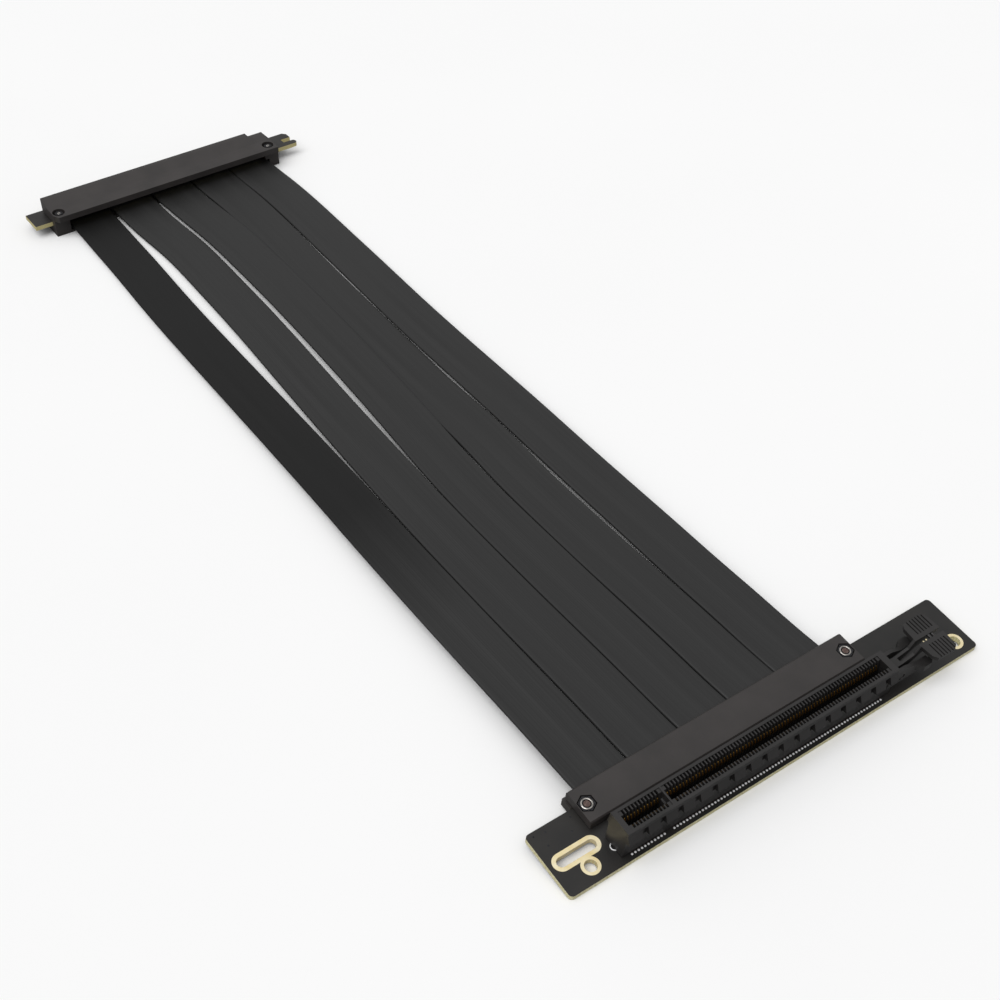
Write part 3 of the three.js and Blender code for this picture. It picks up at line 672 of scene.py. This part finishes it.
class RISER_PG_edges(bpy.types.PropertyGroup):
    """How far moulded edges are broken."""

    cover: bpy.props.FloatProperty(
        name="Cover edges",
        description="Width of the broken edges on the covers",
        default=0.0002,
        unit="LENGTH",
    )
    slot: bpy.props.FloatProperty(
        name="Slot edges",
        description="Width of the broken edges on the slot and latch",
        default=0.00006,
        unit="LENGTH",
    )


class RISER_OT_stage(bpy.types.Operator):
    """Adds the pale floor, the soft lights and the camera at the photograph's angle."""

    bl_idname = "riser.stage"
    bl_label = "Studio"

    def execute(self, context):
        make_camera()
        make_floor()
        make_lights()
        return {"FINISHED"}


class RISER_OT_ribbons(bpy.types.Operator):
    """Lays the five flat ribbons along their routes."""

    bl_idname = "riser.ribbons"
    bl_label = "Ribbons"

    def execute(self, context):
        for number in range(len(ROUTES)):
            ribbon(number, context.scene.riser_ribbons)
        return {"FINISHED"}


class RISER_OT_socket_board(bpy.types.Operator):
    """Finishes the socket board and adds its plated rings and solder joints."""

    bl_idname = "riser.socket_board"
    bl_label = "Socket board"

    def execute(self, context):
        make_socket_board(context.scene.riser_board)
        return {"FINISHED"}


class RISER_OT_slot(bpy.types.Operator):
    """Breaks the edges of the slot's housing and latch, opens its grooves and adds its contacts."""

    bl_idname = "riser.slot"
    bl_label = "Card slot and latch"

    def execute(self, context):
        edges = context.scene.riser_edges
        width = edges.slot / MM
        body = softened("socket_housing", "slot_body", "nylon_slot", width)
        open_grooves(body)
        spring_contacts()
        softened("card_latch", "latch_lever", "nylon_slot", 2 * width, body="latch")
        return {"FINISHED"}


class RISER_OT_covers(bpy.types.Operator):
    """Breaks the edges of the four covers."""

    bl_idname = "riser.covers"
    bl_label = "Covers"

    def execute(self, context):
        edges = context.scene.riser_edges
        for node in ("socket_upper_cover", "socket_lower_cover", "plug_upper_cover", "plug_lower_cover"):
            softened(node, node + "_shell", "abs_cover", edges.cover / MM)
        return {"FINISHED"}


class RISER_OT_fasteners(bpy.types.Operator):
    """Finishes the nuts and screws and adds their turned rims."""

    bl_idname = "riser.fasteners"
    bl_label = "Nuts and screws"

    def execute(self, context):
        for number in (1, 2):
            finish_node(f"socket_nut_{number}", "black_oxide_steel")
            finish_node(f"socket_screw_{number}", "bronzed_steel")
            finish_node(f"plug_screw_{number}", "black_oxide_steel")
        chamfer_rings()
        return {"FINISHED"}


class RISER_OT_plug_board(bpy.types.Operator):
    """Finishes the plug board and adds its fingers."""

    bl_idname = "riser.plug_board"
    bl_label = "Plug board"

    def execute(self, context):
        finish_node("plug_board", "plug_board_mask")
        edge_fingers()
        return {"FINISHED"}


class RISER_PT_panel(bpy.types.Panel):
    """Lists the riser cable's sizes and the pieces that can be made."""

    bl_idname = "RISER_PT_panel"
    bl_label = "Riser cable"
    bl_space_type = "VIEW_3D"
    bl_region_type = "UI"
    bl_category = "Riser cable"

    def draw(self, context):
        scene = context.scene
        for group, keys in (
            (scene.riser_ribbons, ("width", "thickness", "curl", "steps")),
            (scene.riser_board, ("plating", "joint_radius")),
            (scene.riser_edges, ("cover", "slot")),
        ):
            for key in keys:
                self.layout.prop(group, key)
        for operator in OPERATORS:
            self.layout.operator(operator.bl_idname)


def edge_fingers():
    """Gilt fingers on both faces of the plug's tongue, one above and one below for every contact."""
    fingers = []
    for foot in (PLUG_BOARD_FOOT - FINGER_HEIGHT, PLUG_BOARD_FOOT + BOARD_THICKNESS):
        head = foot + FINGER_HEIGHT
        section = [(FINGER_ROOT, foot), (FINGER_TIP, foot), (FINGER_TIP, head), (FINGER_ROOT, head)]
        for u in contact_places():
            fingers.append(prism(section, u - FINGER_WIDTH / 2, u + FINGER_WIDTH / 2))
    fitted("edge_fingers", fingers, plug_points, "gold_plating")


def prism(section, left, right):
    """A closed (y, z) section carried from one X to another."""
    n = len(section)
    points = [(x, y, z) for x in (left, right) for y, z in section]
    faces = [list(range(n)), list(range(2 * n - 1, n - 1, -1))]
    faces += [[i, i + n, (i + 1) % n + n, (i + 1) % n] for i in range(n)]
    return points, faces


def open_grooves(body):
    """Runs the grooves between the hood's panels out through the lip: a cutter of prisms, one per groove,
    is taken out of the body before its edges are broken."""
    cuts = []
    for i in range(GROOVE_COUNT):
        middle = FIRST_GROOVE + i * GROOVE_PITCH
        cuts.append(prism(GROOVE_SECTION, middle - GROOVE_WIDTH / 2, middle + GROOVE_WIDTH / 2))
    points, faces = joined(cuts)
    work = bmesh.new()
    vertices = [work.verts.new(tuple(p)) for p in board_points(points)]
    for face in faces:
        work.faces.new([vertices[i] for i in face])
    bmesh.ops.recalc_face_normals(work, faces=work.faces)
    mesh = bpy.data.meshes.new("groove_cutter")
    work.to_mesh(mesh)
    work.free()
    cutter = bpy.data.objects.new("groove_cutter", mesh)
    bpy.context.scene.collection.objects.link(cutter)
    cut = body.modifiers.new("open_grooves", "BOOLEAN")
    cut.operation = "DIFFERENCE"
    cut.solver = "EXACT"
    cut.object = cutter
    depsgraph = bpy.context.evaluated_depsgraph_get()
    finishing = [body.modifiers["broken_edges"], body.modifiers["flat_faces"]]
    for modifier in finishing:
        modifier.show_viewport = False
    depsgraph.update()
    carved = bpy.data.meshes.new_from_object(body.evaluated_get(depsgraph))
    for modifier in finishing:
        modifier.show_viewport = True
    body.modifiers.remove(cut)
    bpy.data.objects.remove(cutter)
    body.data = carved
    carved.name = "slot_body"


def spring_contacts():
    """Two rows of gilt spring contacts in the comb's pockets: a strip leans in from its foot to the card,
    then turns back at its tip."""
    springs = []
    half = CONTACT_HALF_THICKNESS
    for side in (-1, 1):
        outer = [(SLOT_MIDDLE + side * (reach + half), z) for reach, z in CONTACT_LINE]
        inner = [(SLOT_MIDDLE + side * (reach - half), z) for reach, z in reversed(CONTACT_LINE)]
        section = (outer + inner)[:: -side]
        for x in contact_places():
            springs.append(prism(section, x - CONTACT_WIDTH / 2, x + CONTACT_WIDTH / 2))
    fitted("spring_contacts", springs, board_points, "spring_gold")


def make_camera():
    """Camera at the photograph's place, pitched down, turned and rolled as it was."""
    data = bpy.data.cameras.new("camera")
    data.sensor_width = SENSOR
    data.lens = SENSOR * FOCAL_SHARE
    data.clip_start = 0.01
    data.clip_end = 20.0
    camera = bpy.data.objects.new("camera", data)
    bpy.context.scene.collection.objects.link(camera)
    s, c = np.sin(CAMERA_YAW), np.cos(CAMERA_YAW)
    ahead = np.array([s, c, 0.0])
    right = np.array([c, -s, 0.0])
    over = np.array([0.0, 0.0, 1.0])
    forward = ahead * np.cos(CAMERA_PITCH) - over * np.sin(CAMERA_PITCH)
    up = ahead * np.sin(CAMERA_PITCH) + over * np.cos(CAMERA_PITCH)
    rolled_right = right * np.cos(CAMERA_ROLL) + up * np.sin(CAMERA_ROLL)
    rolled_up = -right * np.sin(CAMERA_ROLL) + up * np.cos(CAMERA_ROLL)
    turn = Matrix([list(row) for row in np.column_stack([rolled_right, rolled_up, -forward])]).to_4x4()
    camera.matrix_world = Matrix.Translation(Vector(to_frame(CAMERA_PLACE))) @ turn
    bpy.context.scene.camera = camera


def make_floor():
    """A wide matt sheet just under the part: nearly white as seen, but it throws less light back."""
    mesh = bpy.data.meshes.new("floor")
    signs = [(-1, -1), (1, -1), (1, 1), (-1, 1)]
    corners = [(x * FLOOR_HALF, y * FLOOR_HALF, -FLOOR_SINK) for x, y in signs]
    mesh.from_pydata(corners, [], [(0, 1, 2, 3)])
    floor = bpy.data.objects.new("floor", mesh)
    bpy.context.scene.collection.objects.link(floor)
    material, tree, shader = new_material("matt_paper")
    where = add(tree, "ShaderNodeTexCoord").outputs["Object"]
    tone = add(tree, "ShaderNodeTexNoise", {"Scale": 6.0, "Detail": 2.0}, Vector=where)
    paper = ramp(tree, tone.outputs[0], [(0.2, srgb(0xF8F8F8)), (0.8, srgb(0xFAFAFA))])
    seen = add(tree, "ShaderNodeLightPath").outputs["Is Camera Ray"]
    both = add(tree, "ShaderNodeMix", {"data_type": "RGBA", 6: srgb(0x9A9A9A)}, i0=seen, i7=paper)
    tree.links.new(both.outputs[2], shader.inputs["Base Color"])
    shader.inputs["Roughness"].default_value = 0.9
    shader.inputs["Specular IOR Level"].default_value = 0.0
    mesh.materials.append(material)


def make_lights():
    """A white dome, dimmer towards the horizon but seen as even, and one broad soft sun from the left."""
    world = bpy.data.worlds.new("studio")
    bpy.context.scene.world = world
    world.use_nodes = True
    tree = world.node_tree
    background = tree.nodes["Background"]
    background.inputs[0].default_value = (1, 1, 1, 1)
    direction = add(tree, "ShaderNodeTexCoord").outputs["Generated"]
    parts = add(tree, "ShaderNodeSeparateXYZ", i0=direction)
    strengths = {"To Min": DOME_AT_HORIZON, "To Max": DOME_OVERHEAD}
    level = add(tree, "ShaderNodeMapRange", strengths, Value=parts.outputs[2])
    seen = add(tree, "ShaderNodeLightPath").outputs["Is Camera Ray"]
    both = add(tree, "ShaderNodeMix", {"data_type": "FLOAT", 3: DOME_SEEN}, i0=seen, i2=level.outputs[0])
    tree.links.new(both.outputs[0], background.inputs[1])
    data = bpy.data.lights.new("key", "SUN")
    data.energy = SUN_STRENGTH
    data.angle = float(np.radians(SUN_SPREAD))
    key = bpy.data.objects.new("key", data)
    bpy.context.scene.collection.objects.link(key)
    key.rotation_mode = "QUATERNION"
    key.rotation_quaternion = Vector(SUN_TOWARDS).to_track_quat("-Z", "Y")


def contact_places():
    """X of every contact: one millimetre apart, with the key's step after the eleventh."""
    number = np.arange(CONTACT_COUNT)
    return number + KEY_STEP * (number >= CONTACTS_BEFORE_KEY)


def plated_wall(path, radius, high, sides):
    """Plating down a hole's wall, from the ring's top to the board's underside."""
    return ring_points(path, radius - WALL_INSET, radius + WALL_OVERLAP, -BOARD_THICKNESS, high, sides)


def make_socket_board(settings):
    """The board's finish, the gilt rings round its holes, its solder joints and small vias."""
    finish_node("socket_board", "board_mask")
    high = settings.plating / MM
    start, end, y, slot_hole, slot_rim = SLOT_RING
    slot = slot_path(start, end, y)
    rings = [ring_points(slot, slot_hole, slot_rim, 0.0, high, SLOT_SIDES)]
    for x, y, hole, rim in (NEAR_RING, FAR_RING, SPARE_VIA):
        rings.append(ring_points(circle_path(x, y), hole, rim, 0.0, high + RING_RISE, HOLE_SIDES))
    rings.append(plated_wall(slot, slot_hole, high, SLOT_SIDES))
    rings.append(plated_wall(circle_path(*NEAR_RING[:2]), NEAR_RING[2], high, HOLE_SIDES))
    fitted("gilt_rings", rings, board_points, "gold_plating")
    x, y, hole, rim = PEG_JOINT
    collar = ring_points(circle_path(x, y), hole, rim, 0.0, PEG_HEIGHT, PEG_SIDES)
    fitted("peg_solder", [collar], board_points, "tin_solder", smooth=True)
    solder_row(settings.joint_radius / MM)
    dots = [turned(VIA_PROFILE, place, VIA_SIDES) for place in VIA_PLACES]
    fitted("via_dots", dots, board_points, "black_oxide_steel")


def chamfer_rings():
    """The turned chamfer round each nut's thread, and the rim of each plug screw's socket: a low ring whose
    crown is turned from four points."""
    nuts = [turned(NUT_CHAMFER, place, NUT_SIDES) for place in NUT_PLACES]
    fitted("nut_chamfers", nuts, board_points, "zinc_steel", lift=NUT_TOP, smooth=True)
    heads = [turned(SOCKET_RIM, place, SOCKET_SIDES) for place in PLUG_SCREW_PLACES]
    fitted("screw_sockets", heads, plug_points, "zinc_steel", lift=PLUG_HEAD_TOP, smooth=True)


def solder_row(radius):
    """One small dome of solder per contact, a half ellipsoid turned from a quarter arc, and the flat tail
    of the contact behind it."""
    arc = np.linspace(0, np.pi / 2, DOME_RINGS + 1)[:-1]
    profile = [(radius * np.cos(a), DOME_SHARE * radius * np.sin(a)) for a in arc]
    top = (DOME_RINGS - 1) * DOME_SIDES
    crown = DOME_RINGS * DOME_SIDES
    cap = [[top + j, top + (j + 1) % DOME_SIDES, crown] for j in range(DOME_SIDES)]
    foot = [list(range(DOME_SIDES))[::-1]]
    domes = []
    for x in contact_places():
        points, faces = turned(profile, (x, 0.0), DOME_SIDES)
        points = np.vstack([points, [[x, 0.0, DOME_SHARE * radius]]])
        domes.append((points, faces + cap + foot))
    fitted("solder_row_front", domes, board_points, "tin_solder", smooth=True)
    tails = [prism(TAIL_SECTION, x - TAIL_HALF_WIDTH, x + TAIL_HALF_WIDTH) for x in contact_places()]
    fitted("contact_tails", tails, board_points, "bronzed_steel")


PROPERTY_GROUPS = [RISER_PG_ribbons, RISER_PG_board, RISER_PG_edges]
OPERATORS = [
    RISER_OT_stage,
    RISER_OT_ribbons,
    RISER_OT_socket_board,
    RISER_OT_slot,
    RISER_OT_covers,
    RISER_OT_fasteners,
    RISER_OT_plug_board,
]


def register():
    """Makes the property groups, operators and panel known, and gives each group its place."""
    for item in (*PROPERTY_GROUPS, *OPERATORS, RISER_PT_panel):
        bpy.utils.register_class(item)
    bpy.types.Scene.riser_ribbons = bpy.props.PointerProperty(type=RISER_PG_ribbons)
    bpy.types.Scene.riser_board = bpy.props.PointerProperty(type=RISER_PG_board)
    bpy.types.Scene.riser_edges = bpy.props.PointerProperty(type=RISER_PG_edges)


def unregister():
    """Takes them away again, last one first."""
    del bpy.types.Scene.riser_edges
    del bpy.types.Scene.riser_board
    del bpy.types.Scene.riser_ribbons
    for item in (RISER_PT_panel, *reversed(OPERATORS), *reversed(PROPERTY_GROUPS)):
        bpy.utils.unregister_class(item)


def main():
    """Makes every piece in turn."""
    register()
    bpy.context.scene.view_settings.view_transform = "Standard"
    for operator in OPERATORS:
        group, name = operator.bl_idname.split(".")
        getattr(getattr(bpy.ops, group), name)()
    bpy.context.view_layer.update()


if __name__ == "__main__":
    main()
